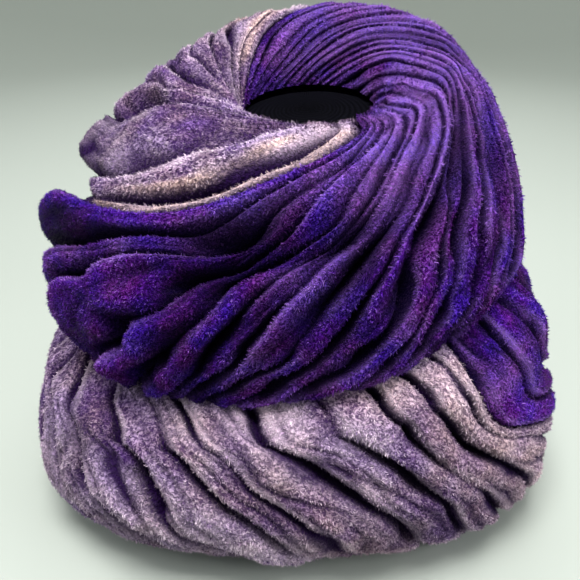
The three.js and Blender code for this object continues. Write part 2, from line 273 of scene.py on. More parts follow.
def ring_points(sections, power, angle, place):
    """Points of the rings in millimetres, and the puff there."""
    row = curve_through(list(sections.values()), place)
    ring = dict(zip(SECTION_COLUMNS, np.moveaxis(row, -1, 0)))
    across, along = np.sin(angle), -np.cos(angle)
    scale = (np.abs(across) ** power + np.abs(along) ** power) ** (-1 / power)
    x = ring["centre_x"] + ring["half_x"] * across * scale
    y = ring["centre_y"] + ring["half_y"] * along * scale
    height = ring["height"] + ring["slope_x"] * x + ring["slope_y"] * y
    return np.stack([x, y, height], -1), ring["puff"]


front, _ = ring_points(UPPER_SECTIONS, OVAL_POWER["upper"], np.zeros(1), np.array([3.0]))
print("crest at the front, mm", np.round(front[0], 1))

# %% [markdown]
# ## Noise and small helpers
#
# Nothing on gathered cloth repeats, so most measures drift from place to place. Blender's own noise would
# do, but only point by point. This one is a lattice of random numbers with smooth steps between them.

# %% Noise and helpers
LATTICE = 64
LATTICE_START = 37.3


def smooth_step(x):
    x = np.clip(x, 0, 1)
    return x * x * (3 - 2 * x)


def noise(points, size, seed):
    """Smooth noise from -1 to 1, at points of 1 to 3 coordinates, one lattice step per size."""
    points = np.asarray(points, float) / size + LATTICE_START
    dims = points.shape[-1]
    lattice = np.random.default_rng(seed).uniform(-1, 1, (LATTICE,) * dims)
    base = np.floor(points).astype(int)
    f = smooth_step(points - base)
    total = 0.0
    for corner in np.ndindex(*(2,) * dims):
        weight = 1.0
        for axis, step in enumerate(corner):
            weight = weight * (f[..., axis] if step else 1 - f[..., axis])
        index = tuple((base[..., axis] + step) % LATTICE for axis, step in enumerate(corner))
        total = total + weight * lattice[index]
    return total


def unit(v):
    return v / np.maximum(np.linalg.norm(v, axis=-1, keepdims=True), 1e-9)


def grid_normals(points):
    """Outward normals of a grid of points, lines first and places second."""
    down = np.gradient(points, axis=1)
    round_ = np.gradient(points, axis=0)
    return unit(np.cross(down, round_))


print("noise spans", np.round(np.ptp(noise(np.arange(200)[:, None], 3, 1)), 2))

# %% [markdown]
# ## An even grid
#
# The pleats crowd together at the hole and spread over the flank. A grid with even steps in line and row
# would waste its points at the hole and look coarse on the flank. So the lines are spread to stand about
# equally far apart where the roll is widest, and the places to be even down its front.

# %% Even grid
FINE_LINES = 2000
FINE_PLACES = 400
LEAST_LINES = 8


def even_lines(start, end, roll):
    """Pleat lines from start to end, the roll's spacing apart where it is widest."""
    fine = np.linspace(start, end, FINE_LINES)
    places = np.linspace(0, len(roll["sections"]) - 1, 12)[2:-2]
    angle = wound_angles(roll["lines"], roll["winding"], fine, places)
    points, _ = ring_points(roll["sections"], roll["power"], angle, np.broadcast_to(places, angle.shape))
    step = np.linalg.norm(np.diff(points, axis=0), axis=-1).max(axis=1)
    run = np.concatenate([[0], np.cumsum(step)])
    count = max(int(run[-1] / roll["spacing_mm"]), LEAST_LINES)
    return np.interp(np.linspace(0, run[-1], count + 1), run, fine)


def even_places(roll):
    """Places about evenly spaced down the front of the roll."""
    fine = np.linspace(0, len(roll["sections"]) - 1, FINE_PLACES)
    points, _ = ring_points(roll["sections"], roll["power"], np.zeros(FINE_PLACES), fine)
    run = np.concatenate([[0], np.cumsum(np.linalg.norm(np.diff(points, axis=0), axis=-1))])
    return np.interp(np.linspace(0, run[-1], roll["places"]), run, fine)


print("grid tried on", FINE_LINES, "lines")

# %% [markdown]
# ## The shape of a pleat
#
# On the real hat the cloth is gathered on a thread, so every pleat is a soft bolster with a tight crease on
# each side. The bolsters meet in crevices far deeper than wide, and carry finer gathers where they are
# squeezed. It could be made by simulating cloth on a drawstring; moving the points in code keeps the pleats
# where they belong. The profile adds up the bolster, broad folds that run over several pleats, the crevice,
# and three sizes of gathers. Order counts pleats across the panel.

# %% Pleat profile
SEAM_PLEATS = 1.2
RELIEF_LEAST_MM = 0.6
CREVICE_LEAST_MM, CREVICE_MORE_MM = 0.8, 8
FOLD_PLEATS, FOLD_SHARPNESS = 0.41, 0.7
GATHER_MOST_MM = 9
GATHER_COLUMNS = ("per_pleat", "share", "seed_step")
GATHERS = ((2, 0.14, 10), (3.1, 0.12, 11), (5.3, 0.08, 12))
# Where across a pleat the painted ridge highlight lies, and how wide it is.
EDGE_AT, EDGE_WIDTH = 0.17, 0.09


def drift(a, b, seed):
    """Noise over two running numbers."""
    return noise(np.stack([a, b], -1), 1, seed)


def wandering(order, places, panel, count):
    """Order, let stray to and fro down the roll, but not at the seams."""
    seed = panel["seed"]
    ends = smooth_step(np.minimum(order, count - order) / SEAM_PLEATS)
    stray = drift(order * 0.8, places * 0.9, seed) + 0.7 * drift(order * 1.3, places * 1.9, seed + 1)
    return order + panel["roll"]["wander"] * stray * ends


def gathers(order, wound, places, width, roll, seed):
    """Depth in millimetres of the fine creases along the pleats, below zero."""
    total = 0.0
    for gather in rows_of(GATHER_COLUMNS, GATHERS):
        factor, step = gather["per_pleat"], gather["seed_step"]
        shifted = wound * factor + 0.6 * drift(order * factor * 0.6, places, seed + step)
        crease = 1 - np.abs(np.sin(np.pi * shifted)) ** FOLD_SHARPNESS
        mask = 0.5 + 0.5 * drift(order * factor * 0.35, places * 0.6, seed + step + 5)
        size = np.minimum(width / factor, GATHER_MOST_MM)
        total = total - gather["share"] * roll["gathers"] * size * crease * smooth_step(mask * 1.7 - 0.3)
    return total


def pleat_profile(order, places, width, puff, panel):
    """Height over the roll in millimetres, order as it wanders, level on the pleat with painted shade, and
    pale edge of painted sheen.
    """
    roll, seed = panel["roll"], panel["seed"]
    rises = np.array([pleat["rise"] for pleat in rows_of(PLEAT_COLUMNS, panel["pleats"])])
    wound = wandering(order, places, panel, len(rises))
    i = np.clip(np.floor(wound).astype(int), 0, len(rises) - 1)
    t = np.clip(wound - i, 0, 1)

    fullness = np.clip(rises[i] + 0.3 * drift(i * 3.7, places * 0.7, seed + 2), 0.4, 1.1)
    bolster = np.sin(np.pi * t ** roll["ridge"]) ** roll["round"]
    softness = 0.85 + 0.55 * drift(order * 0.7, places * 0.8, seed + 5)
    quiet = 1 - 0.6 * np.exp(-(((places - roll["quiet_row"]) / 1.6) ** 2))
    relief = np.minimum(puff, (roll["relief"] * width + RELIEF_LEAST_MM) * softness * quiet)
    height = -relief * (1 - fullness * bolster) - 0.4 * (puff - relief)

    gathered = order * FOLD_PLEATS + 0.5 * drift(order * 0.5, places * 0.6, seed + 4)
    fold = np.abs(np.sin(np.pi * gathered)) ** FOLD_SHARPNESS
    height = height - roll["folds"] * (1 - fold) * smooth_step(puff / 8)

    valley = np.minimum(t, 1 - t) * width
    nearest = np.round(wound).astype(int)
    bite = smooth_step((0.5 + 0.5 * drift(nearest * 5.1, places * 0.8, seed + 3)) * 1.8 - 0.4)
    squeezed = smooth_step((width - 2) / 12)
    crevice = (CREVICE_LEAST_MM + CREVICE_MORE_MM * bite) * (0.12 + 0.88 * squeezed) * roll["crevice"]
    crevice = crevice * np.exp(-((valley / (0.8 + roll["gape"] * bite * squeezed)) ** 2))

    fine = gathers(order, wound, places, width, roll, seed)
    # Painted shade: level goes dark in crevices, in fine gathers and in the valleys of the broad folds.
    shade = np.exp(-crevice / 1.6) * (1 - roll["hollow"] * (1 - fold))
    level = np.clip(0.35 + 0.65 * bolster * fullness, 0, 1) * shade + fine / 3
    # Painted highlight: a pale band near one side of each pleat's crest, later added to the painted sheen.
    edge = np.exp(-(((t - EDGE_AT) / EDGE_WIDTH) ** 2)) * (0.4 + 0.6 * bite) * smooth_step(width / 10)
    return height - crevice + fine, wound, level, edge


print("gathers in a pleat", [row[0] for row in GATHERS])

# %% [markdown]
# ## Draping a panel
#
# The grid is laid on the smooth roll, every point is moved out along the normal by the pleat profile, less
# the pockets, plus soft lumps from the wadding, and the pleats lean a little the way they were pulled. A
# displacement texture only pushes outward; here the lean is part of the same sum. The masks for the finish
# are worked out on the way.

# %% Drape
POCKET_SHADE = 0.95
LUMPS_MM = ((38, 20), (15, 21), (5, 22))
EDGE_SHEEN = 1.5
FROST_SHEEN_MOST = 1.8


def drape(panel):
    """Grid of points of one panel, with the masks that its finish uses, painted shade and painted sheen among
    them.
    """
    roll = panel["roll"]
    line = even_lines(panel["from"], panel["to"], roll)
    place = even_places(roll)
    angle = wound_angles(roll["lines"], roll["winding"], line, place)
    places = np.broadcast_to(place, angle.shape)
    smooth, puff = ring_points(roll["sections"], roll["power"], angle, places)
    normal = grid_normals(smooth)
    run_down, run_round = np.gradient(smooth, axis=1), np.gradient(smooth, axis=0)
    down = unit(run_down)
    toward = unit(np.cross(normal, down))
    toward *= np.sign((toward * run_round).sum(-1, keepdims=True))

    valleys = [pleat["line"] for pleat in rows_of(PLEAT_COLUMNS, panel["pleats"])]
    starts = np.array(valleys + [panel["to"]], float)
    order = np.interp(line, starts, np.arange(len(starts)))[:, None] + 0 * places
    width = np.abs((run_round * toward).sum(-1) / np.gradient(order, axis=0))
    height, wound, level, edge = pleat_profile(order, places, width, puff, panel)

    row_length = np.linalg.norm(run_down, axis=-1) / np.gradient(place)
    for pocket in rows_of(POCKET_COLUMNS, roll["pockets"]):
        if not panel["from"] < pocket["line"] < panel["to"]:
            continue
        middle = np.interp(pocket["line"], starts, np.arange(len(starts)))
        aside = (wound - middle) * width / pocket["half_width_mm"]
        along = (places - pocket["row"]) * row_length / pocket["half_length_mm"]
        dent = np.exp(-(aside**2) - along**2)
        height = height - pocket["depth_mm"] * dent
        # Painted shade: the colour goes dark inside a pocket, though not on a bulge.
        if pocket["depth_mm"] > 0:
            level = level * (1 - POCKET_SHADE * dent)

    big, middling, small = (noise(smooth, size, seed) for size, seed in LUMPS_MM)
    lumps = roll["lumps"] * big + 0.8 * middling + 0.3 * small
    height = height + lumps * smooth_step(puff / 6)
    lean = roll["lean"] * (level - 0.5) * np.minimum(puff, width * 0.3)
    points = smooth + normal * height[..., None] + toward * lean[..., None]

    # Painted sheen: a drifting base over the roll, stronger on pleat ridges and at the listed spots, less in
    # shade.
    frost_sheen = roll["base_frost_sheen"] + 0.5 * drift(order * 0.9, places * 0.8, panel["seed"] + 30)
    frost_sheen = frost_sheen + 0.45 * noise(smooth, 11, 31) + EDGE_SHEEN * edge
    for spot in rows_of(FROST_SHEEN_COLUMNS, panel["frost_sheen"]):
        aside = (line[:, None] - spot["line"]) / spot["half_lines"]
        along = (places - spot["row"]) / spot["half_rows"]
        frost_sheen = frost_sheen + spot["amount"] * np.exp(-(aside**2) - along**2)
    warm = np.zeros_like(level)
    for band in rows_of(WARM_COLUMNS, panel["warm"]):
        along = smooth_step((places - band["from_row"]) / 0.5) * smooth_step((band["to_row"] - places) / 0.6)
        aside = (line[:, None] - band["line"]) / band["half_lines"]
        warm = np.maximum(warm, band["amount"] * np.exp(-(aside**2)) * along)
    return {"points": points, "level": np.clip(level, 0, 1), "warm": warm,
            "frost_sheen": np.clip(frost_sheen, 0, FROST_SHEEN_MOST), "down": down}


print("lumps, mm", [size for size, _ in LUMPS_MM])

# %% [markdown]
# ## The two rolls and their four panels
#
# The upper roll is plump and deeply creased, with large folds; the lower one is stuffed tighter, so its
# pleats are flatter and finer. Both use the same drape with other values. Lumps is in millimetres, relief a
# share of a pleat's width, ridge where the crest stands across the pleat, and quiet_row the section where
# the pleats lie flattest, past the last row where there is none. A panel says where on its roll it lies,
# which pleats it takes, and how many blades of pile it grows.

# %% Rolls and panels
# Hollow sets how much painted shade falls in the valleys of the broad folds; the last value is the base of
# the painted sheen.
UPPER_ROLL = {
    "sections": UPPER_SECTIONS, "winding": UPPER_WINDING, "lines": UPPER_LINES, "power": OVAL_POWER["upper"],
    "pockets": UPPER_POCKETS, "spacing_mm": 1.1, "places": 165, "lumps": 1.8, "relief": 0.36, "ridge": 0.68,
    "round": 0.62, "quiet_row": 2.5, "wander": 0.27, "folds": 3.0, "hollow": 0.45, "gathers": 1.2,
    "crevice": 1.0, "gape": 1.2, "lean": -0.4, "base_frost_sheen": 0.4,
}
LOWER_ROLL = {
    "sections": LOWER_SECTIONS, "winding": LOWER_WINDING, "lines": LOWER_LINES, "power": OVAL_POWER["lower"],
    "pockets": LOWER_POCKETS, "spacing_mm": 1.25, "places": 140, "lumps": 1.1, "relief": 0.18, "ridge": 0.9,
    "round": 0.36, "quiet_row": 99, "wander": 0.14, "folds": 0.8, "hollow": 0.25, "gathers": 1.5,
    "crevice": 0.62, "gape": 0.6, "lean": 0.1, "base_frost_sheen": 0.62,
}
UPPER_SEAM, LOWER_SEAM = 185, 178
PANELS = {
    "upper_roll_purple": {
        "roll": UPPER_ROLL, "pleats": UPPER_PURPLE_PLEATS, "from": 15, "to": UPPER_SEAM,
        "frost_sheen": UPPER_FROST_SHEEN, "warm": (), "seed": 100, "slot": "velvet_purple", "blades": 185000,
    },
    "upper_roll_lavender": {
        "roll": UPPER_ROLL, "pleats": UPPER_LAVENDER_PLEATS, "from": UPPER_SEAM, "to": 375,
        "frost_sheen": UPPER_FROST_SHEEN, "warm": UPPER_LAVENDER_WARM, "seed": 200, "slot": "velvet_lavender",
        "blades": 140000,
    },
    "lower_roll_purple": {
        "roll": LOWER_ROLL, "pleats": LOWER_PURPLE_PLEATS, "from": 37, "to": LOWER_SEAM,
        "frost_sheen": LOWER_PURPLE_FROST_SHEEN, "warm": (), "seed": 300, "slot": "velvet_purple", "blades": 70000,
    },
    "lower_roll_lavender": {
        "roll": LOWER_ROLL, "pleats": LOWER_LAVENDER_PLEATS, "from": LOWER_SEAM, "to": 397,
        "frost_sheen": (), "warm": LOWER_LAVENDER_WARM, "seed": 400, "slot": "velvet_lavender", "blades": 150000,
    },
}
cap_low, cap_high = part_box("inner_cap")
SHIFT = np.array([(cap_low[0] + cap_high[0]) / 2, (cap_low[1] + cap_high[1]) / 2, 0.0])
draped = {name: drape(panel) for name, panel in PANELS.items()}
for name, cloth in draped.items():
    low, high = cloth["points"].min((0, 1)), cloth["points"].max((0, 1))
    print(name, cloth["points"].shape[:2], "box mm", np.round(low), np.round(high))

# %% [markdown]
# ## Meshes from grids
#
# Every soft piece becomes a mesh with its own map for baking, and carries its masks as attributes: how high
# on a pleat a point lies and how deep in painted shade, how much painted sheen pales its tips, and where the
# dye turned warm. Adding faces one by one is slow in Python, so whole arrays are handed over at once.

# %% Mesh helpers
MARGIN = 0.01


def mesh_object(name, points, faces, uv=None, masks=None, smooth=True):
    """A mesh object: points in metres, faces as rows of 3 or 4 indices, uv and masks per point."""
    mesh = bpy.data.meshes.new(name)
    points = np.asarray(points, np.float32)
    faces = np.asarray(faces, np.int32)
    sides = faces.shape[1]
    mesh.vertices.add(len(points))
    mesh.vertices.foreach_set("co", points.ravel())
    mesh.loops.add(faces.size)
    mesh.loops.foreach_set("vertex_index", faces.ravel())
    mesh.polygons.add(len(faces))
    mesh.polygons.foreach_set("loop_start", np.arange(0, faces.size, sides, dtype=np.int32))
    mesh.polygons.foreach_set("loop_total", np.full(len(faces), sides, np.int32))
    if uv is not None:
        layer = mesh.uv_layers.new(name="OFBake")
        layer.data.foreach_set("uv", np.asarray(uv, np.float32)[faces.ravel()].ravel())
    for key, values in (masks or {}).items():
        attribute = mesh.attributes.new(key, "FLOAT", "POINT")
        attribute.data.foreach_set("value", np.asarray(values, np.float32).ravel())
    mesh.polygons.foreach_set("use_smooth", np.full(len(faces), smooth))
    mesh.update(calc_edges=True)
    obj = bpy.data.objects.new(name, mesh)
    bpy.context.scene.collection.objects.link(obj)
    return obj


def grid_faces(lines, places):
    """Quads of a grid of lines x places points, facing out."""
    i, k = np.meshgrid(np.arange(lines - 1), np.arange(places - 1), indexing="ij")
    a = (i * places + k).ravel()
    return np.stack([a, a + 1, a + places + 1, a + places], -1)


def metres(points):
    """Table millimetres to metres of the frame, whose middle lies a little aside."""
    return points * MM + SHIFT


def panel_object(name, cloth):
    """The cloth of one panel, its map one upright sheet with a small margin."""
    points = cloth["points"]
    lines, places = points.shape[:2]
    u, v = np.meshgrid(np.linspace(MARGIN, 1 - MARGIN, lines), np.linspace(1 - MARGIN, MARGIN, places),
                       indexing="ij")
    masks = {key: cloth[key] for key in ("level", "warm", "frost_sheen")}
    masks["tip"] = np.zeros((lines, places))
    return mesh_object(name, metres(points).reshape(-1, 3), grid_faces(lines, places),
                       np.stack([u, v], -1).reshape(-1, 2), masks)


cloth_objects = {name: panel_object(name + "_cloth", cloth) for name, cloth in draped.items()}
print("cloth triangles", {name: len(obj.data.polygons) * 2 for name, obj in cloth_objects.items()})

# %% [markdown]
# ## Tufts
#
# Plush velvet is a stand of short fibres. Damp and handling make them cling together in tufts of a
# millimetre or two, and all the fibres of a tuft lean one way. Each tuft could be an object of its own, but
# it is enough that neighbouring blades share their random numbers. So space is cut into small warped cells,
# and each cell looks its numbers up in a table.

# %% Tufts
TUFT_MM = 1.6
TUFT_TABLE = 65521
TUFT_PRIMES = (73856093, 19349663, 83492791)


def tufts(points, seed):
    """Numbers from 0 to 1 shared by every point in the same tuft, and the middle of the tuft."""
    warped = points + 0.9 * np.stack([noise(points, 2.7, seed + k) for k in range(3)], -1)
    cell = np.floor(warped / TUFT_MM).astype(np.int64)
    keys = [cell[:, axis] * prime for axis, prime in enumerate(TUFT_PRIMES)]
    table = np.random.default_rng(seed).uniform(0, 1, (TUFT_TABLE, 4))
    return table[(keys[0] ^ keys[1] ^ keys[2]) % TUFT_TABLE], (cell + 0.5) * TUFT_MM


def scatter(points, number, rng):
    """Cell and place in the cell of points scattered evenly by area over a grid."""
    across = points[1:, 1:] - points[:-1, :-1]
    other = points[1:, :-1] - points[:-1, 1:]
    area = np.linalg.norm(np.cross(across, other), axis=-1).ravel()
    cells = np.searchsorted(np.cumsum(area), rng.uniform(0, area.sum(), number))
    cells = np.minimum(cells, area.size - 1)
    columns = points.shape[1] - 1
    return cells // columns, cells % columns, rng.uniform(0, 1, number), rng.uniform(0, 1, number)


print("tuft, mm", TUFT_MM)

# %% [markdown]
# ## The pile
#
# The fibres lie over in the direction the cloth was last stroked, and it is their pale, shiny tips that
# give the frosted look on every crest, drawn in the finish as painted sheen, with painted shade at their
# feet. A hair system would do it, but has no mesh to keep. Here each blade is one thin triangle, its foot
# just under the cloth and its tip leaning with the nap, and a panel's blades are joined as one mesh. Blades
# under the hat are pressed flat on the floor.

# %% Pile
PILE_LENGTH_MM = 1.8
PILE_WIDTH_MM = 0.5
FOOT_DEPTH_MM = 0.25
# A share of blades get extra painted sheen, as glints.
GLINT_SHARE, GLINT_SHEEN = 0.16, 0.6
BLADE_UV = np.array([[-0.0004, 0], [0.0004, 0], [0, 0.0008]])


def pile_object(name, cloth, panel):
    """One mesh of blades for a panel, with the same masks as its cloth."""
    rng = np.random.default_rng(panel["seed"] + 50)
    points = cloth["points"]
    lines, places = points.shape[:2]
    i, k, fi, fj = scatter(points, panel["blades"], rng)

    def at(grid):
        """A grid's values at the foot of every blade."""
        weights = [(1 - fi) * (1 - fj), fi * (1 - fj), (1 - fi) * fj, fi * fj]
        parts = [grid[i, k], grid[i + 1, k], grid[i, k + 1], grid[i + 1, k + 1]]
        return sum((w[:, None] if grid.ndim == 3 else w) * part for w, part in zip(weights, parts))

    root, normal, level = at(points), unit(at(grid_normals(points))), at(cloth["level"])
    down = at(cloth["down"])
    down = unit(down - normal * (down * normal).sum(-1, keepdims=True))
    side = np.cross(normal, down)
    tuft, middle = tufts(root, 7)
    swirl = 1.3 * noise(root, 18, 7) + 0.9 * noise(root, 4, 8) + 2.0 * (tuft[:, 0] - 0.5)
    swirl = swirl + rng.normal(0, 0.25, len(root))
    nap = down * np.cos(swirl)[:, None] + side * np.sin(swirl)[:, None]
    stand = 0.8 + 0.35 * noise(root, 6, 9) + 0.9 * (tuft[:, 1] - 0.5) + rng.normal(0, 0.1, len(root))
    aim = unit(normal * np.clip(stand, 0.2, 1.8)[:, None] + nap)
    length = PILE_LENGTH_MM * (0.7 + 0.5 * tuft[:, 2]) * rng.uniform(0.75, 1.1, len(root))
    length = length * (0.6 + 0.4 * level)
    inward = middle - root
    inward = inward - normal * (inward * normal).sum(-1, keepdims=True)
    tip = root + aim * length[:, None] + 0.6 * inward
    turn = rng.uniform(0, np.pi, (len(root), 1))
    broad = unit(np.cross(aim, normal) + 1e-6) * np.cos(turn) + normal * 0.3 * np.sin(turn)
    half = broad * PILE_WIDTH_MM / 2 * rng.uniform(0.7, 1.2, (len(root), 1))
    sunk = root - normal * FOOT_DEPTH_MM
    corners = np.stack([sunk - half, sunk + half, tip], 1).reshape(-1, 3)
    corners[:, 2] = np.maximum(corners[:, 2], 0)
    sheet = 1 - 2 * MARGIN
    uv = np.stack([(i + fi) / (lines - 1) * sheet + MARGIN,
                   1 - MARGIN - (k + fj) / (places - 1) * sheet], -1)
    uv = (uv[:, None, :] + BLADE_UV).reshape(-1, 2)
    # Painted sheen on the blades, strongest on some tufts and on a few glinting blades. The tip mask also
    # darkens each blade's foot in the finish, as painted shade.
    frost_sheen = at(cloth["frost_sheen"]) * (0.3 + 1.2 * tuft[:, 3] ** 2) + rng.uniform(-0.3, 0.35, len(root))
    frost_sheen = frost_sheen + GLINT_SHEEN * (rng.uniform(0, 1, len(root)) < GLINT_SHARE)
    masks = {"level": np.repeat(level, 3), "warm": np.repeat(at(cloth["warm"]), 3),
             "frost_sheen": np.repeat(np.clip(frost_sheen, 0, FROST_SHEEN_MOST), 3),
             "tip": np.tile([0.0, 0.0, 1.0], len(root))}
    faces = np.arange(len(root) * 3).reshape(-1, 3)
    return mesh_object(name, metres(corners), faces, uv, masks, smooth=False)


pile_objects = {name: pile_object(name + "_pile", draped[name], PANELS[name]) for name in PANELS}
print("pile triangles", {name: len(obj.data.polygons) for name, obj in pile_objects.items()})

# %% [markdown]
# ## The knit cap
#
# A fine black knit, seen only down the hole and from below. It could be a ball cut in half and thickened by
# a modifier, but the head hollow leans and narrows with the hat, so the dome is drawn from rings as the
# rolls are, outside first and then back down the inside. The stitches are small enough to leave to the
# finish.

# %% Knit cap
CAP_LINES = 160
CAP_PLACES = 40
KNIT_THICKNESS_MM = 2.4
BUTTON_RISE_MM = 0.8
LID_RINGS = 5


def cap_object():
    """The dome shell, open below, closed at the top by a few rings running in to a point."""
    round_ = np.linspace(0, 2 * np.pi, CAP_LINES + 1)
    up = np.linspace(0, len(CAP_SECTIONS) - 1, CAP_PLACES)
    angle, place = np.meshgrid(round_, up, indexing="ij")
    outer, _ = ring_points(CAP_SECTIONS, OVAL_POWER["cap"], angle, place)
    button = outer[:, -1].mean(0) + [0, 0, BUTTON_RISE_MM]
    closing = np.linspace(0, 1, LID_RINGS + 1)[1:]
    lid = outer[:, -1:] + (button - outer[:, -1:]) * closing[None, :, None]
    outer = np.concatenate([outer, lid], 1)
    normal = grid_normals(outer)
    inner = outer + normal * KNIT_THICKNESS_MM
    points = np.concatenate([outer[:, ::-1], inner], 1)
    lines, places = points.shape[:2]
    u, v = np.meshgrid(np.linspace(MARGIN, 1 - MARGIN, lines), np.linspace(MARGIN, 1 - MARGIN, places),
                       indexing="ij")
    return mesh_object("inner_cap_knit", metres(points).reshape(-1, 3), grid_faces(lines, places),
                       np.stack([u, v], -1).reshape(-1, 2))


knit = cap_object()
print("knit cap triangles", len(knit.data.polygons) * 2)

# %% [markdown]
# ## Node helpers
#
# The finishes are nodes, which stay sharp at any size and need no picture. They could be wired by hand in
# the editor; for two that share so much, a few small functions are easier to read.

# %% Node helpers
def connect(tree, value, socket):
    """Link a socket, or set a plain value."""
    if isinstance(value, bpy.types.NodeSocket):
        tree.links.new(value, socket)
    else:
        socket.default_value = value


def new_group(name, inputs, outputs):
    """A node group with its own sockets, and the nodes at its two ends."""
    group = bpy.data.node_groups.new(name, "ShaderNodeTree")
    for socket_name, kind, value in inputs:
        socket = group.interface.new_socket(socket_name, in_out="INPUT", socket_type=kind)
        if value is not None:
            socket.default_value = value
    for socket_name, kind in outputs:
        group.interface.new_socket(socket_name, in_out="OUTPUT", socket_type=kind)
    return group, group.nodes.new("NodeGroupInput"), group.nodes.new("NodeGroupOutput")


def mix_colours(tree, factor, a, b):
    """Colour a where the factor is 0 and b where it is 1."""
    node = tree.nodes.new("ShaderNodeMix")
    node.data_type = "RGBA"
    for index, value in ((0, factor), (6, a), (7, b)):
        connect(tree, value, node.inputs[index])
    return node.outputs[2]


def maths(tree, operation, a, b=0.0, clamp=False):
    """One Math node."""
    node = tree.nodes.new("ShaderNodeMath")
    node.operation = operation
    node.use_clamp = clamp
    for socket, value in zip(node.inputs, (a, b)):
        connect(tree, value, socket)
    return node.outputs[0]


def weighed(tree, value, least, share):
    """least + share * value."""
    return maths(tree, "ADD", least, maths(tree, "MULTIPLY", value, share))


def scaled_noise(tree, vector, scale, detail, distortion=0.0):
    """Noise texture of a given scale."""
    node = tree.nodes.new("ShaderNodeTexNoise")
    connect(tree, vector, node.inputs["Vector"])
    connect(tree, scale, node.inputs["Scale"])
    node.inputs["Detail"].default_value = detail
    node.inputs["Distortion"].default_value = distortion
    return node.outputs["Fac"]


def ranged(tree, value, low, high):
    """The value stretched so that low gives 0 and high gives 1."""
    node = tree.nodes.new("ShaderNodeMapRange")
    node.inputs["From Min"].default_value = low
    node.inputs["From Max"].default_value = high
    connect(tree, value, node.inputs["Value"])
    return node.outputs["Result"]


def linear(r, g, b):
    """Colour as seen, 0 to 255, to the values that a shader takes."""
    return tuple(((c / 255 + 0.055) / 1.055) ** 2.4 if c > 10 else c / 255 / 12.92 for c in (r, g, b))


print("mid grey is", round(linear(128, 128, 128)[0], 3), "to a shader")

# %% [markdown]
# ## The velvet colour, with painted shade and painted sheen
#
# Velvet looks dark where one looks down between the fibres and pale where the tips catch the light, so the
# colour runs from painted shade in the deep of a crevice, a pocket, the foot of a blade and the low spots of
# the grain, through the body of the cloth, to painted sheen on the frosted tip. Patches where the nap was
# crushed the other way shift in colour, and the lavender turned warm in places. A photograph of cloth would
# bring its own light along; these masks only know where they are on the hat. All of it sits in one group
# that both colours share. It puts out a colour and a height, and the shader stays outside.

# %% Velvet group
PATCH_SCALE = 55
LEVEL_CONTRAST, SPARK_CONTRAST = 1.65, 1.3
FLOAT, COLOUR, VECTOR = "NodeSocketFloat", "NodeSocketColor", "NodeSocketVector"


def velvet_group():
    tree, given, result = new_group(
        "Velvet colour, painted shade and sheen",
        [("Vector", VECTOR, None), ("Level", FLOAT, 0.5), ("Warm", FLOAT, 0), ("Tip", FLOAT, 0),
         ("Frost_sheen", FLOAT, 0.5), ("Painted Shade", COLOUR, None), ("Body", COLOUR, None), ("Shift", COLOUR, None),
         ("Tip Sheen", COLOUR, None), ("Warm Dye", COLOUR, None), ("Frost Sheen Strength", FLOAT, 0.5), ("Grain", FLOAT, 700)],
        [("Color", COLOUR), ("Height", FLOAT)],
    )
    get = given.outputs
    patches = ranged(tree, scaled_noise(tree, get["Vector"], PATCH_SCALE, 3), 0.36, 0.64)
    grain = ranged(tree, scaled_noise(tree, get["Vector"], get["Grain"], 3, 0.7), 0.4, 0.62)
    # Painted shade: low level, blade feet and low grain pull the colour toward the shade colour.
    lifted = maths(tree, "POWER", get["Level"], LEVEL_CONTRAST)

    body = mix_colours(tree, patches, get["Body"], get["Shift"])
    shaded = maths(tree, "MULTIPLY", weighed(tree, grain, 0.14, 0.86), weighed(tree, get["Tip"], 0.6, 0.6))
    colour = mix_colours(tree, maths(tree, "MULTIPLY", lifted, shaded, clamp=True), get["Painted Shade"], body)

    # Painted sheen: the pale tip colour is mixed in where the sheen mask, grain and crest are high.
    frost_sheen = maths(tree, "MULTIPLY", get["Frost_sheen"], 0.75)
    spark = maths(tree, "ADD", maths(tree, "MULTIPLY", grain, 0.5), frost_sheen)
    spark = maths(tree, "POWER", ranged(tree, spark, 0.3, 1.1), SPARK_CONTRAST)
    spark = maths(tree, "MULTIPLY", spark, weighed(tree, get["Tip"], 0.3, 0.7))
    spark = maths(tree, "MULTIPLY", spark, maths(tree, "MULTIPLY", get["Frost Sheen Strength"], lifted), clamp=True)
    colour = mix_colours(tree, spark, colour, get["Tip Sheen"])

    warmth = maths(tree, "MULTIPLY", get["Warm"], weighed(tree, grain, 0.2, 0.5))
    warmth = maths(tree, "MULTIPLY", warmth, lifted, clamp=True)
    colour = mix_colours(tree, warmth, colour, get["Warm Dye"])
    tree.links.new(colour, result.inputs["Color"])
    tree.links.new(grain, result.inputs["Height"])
    return tree


VELVET = velvet_group()
print("velvet group", len(VELVET.nodes), "nodes")

# %% [markdown]
# ## The two velvets
#
# Each colour is one Principled shader fed by the group. Pile scatters light instead of mirroring it, so the
# finish is rough with hardly any highlight, and a little sheen lights the edges softly. A velvet shader of
# its own would do much the same, with fewer ways to tune it.

# %% Velvets
VELVET_ROUGHNESS, VELVET_SPECULAR = 0.6, 0.03
SHEEN_WEIGHT, SHEEN_ROUGHNESS = 0.04, 0.35
GRAIN_BUMP, GRAIN_DEPTH_M = 0.8, 0.0009


def new_material(name):
    """An empty material, its node tree and its Principled shader."""
    material = bpy.data.materials.new(name)
    material.use_nodes = True
    return material, material.node_tree, material.node_tree.nodes["Principled BSDF"]


def bump_from(tree, height, shader, strength, distance):
    """Feed a height to the shader as bumps."""
    bump = tree.nodes.new("ShaderNodeBump")
    bump.inputs["Strength"].default_value = strength
    bump.inputs["Distance"].default_value = distance
    tree.links.new(height, bump.inputs["Height"])
    tree.links.new(bump.outputs["Normal"], shader.inputs["Normal"])


